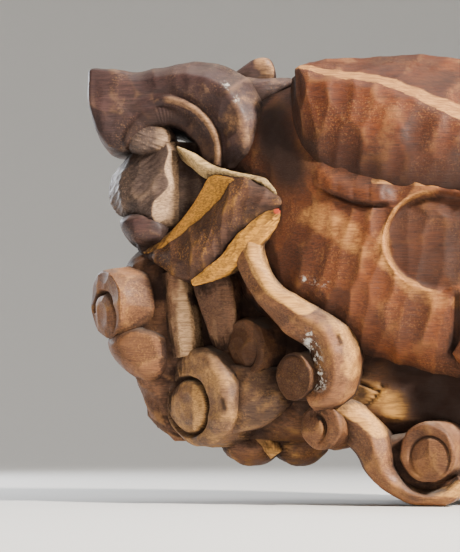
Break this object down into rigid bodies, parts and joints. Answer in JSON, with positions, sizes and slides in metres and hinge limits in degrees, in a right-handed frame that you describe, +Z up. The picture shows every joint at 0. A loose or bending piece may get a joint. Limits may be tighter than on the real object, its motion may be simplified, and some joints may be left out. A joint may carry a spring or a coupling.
{
  "type": "lion head beam end",
  "caption": "Carved hardwood beam end shaped as a lion's head with an open mouth, curled lips and a scrolled beard, flat at the back where it meets a post.",
  "frame": {"origin": "centre of the flat back", "axes": "the face looks along -Y, +Y points into the post behind the flat back, +Z is up"},
  "size_m": [0.277, 0.4799, 0.4236],
  "materials": {
    "carved_wood": "bare carved hardwood, weathered, with a low sheen"
  },
  "bodies": {
    "root": {"lion_head": "carved_wood"}
  },
  "joints": []
}
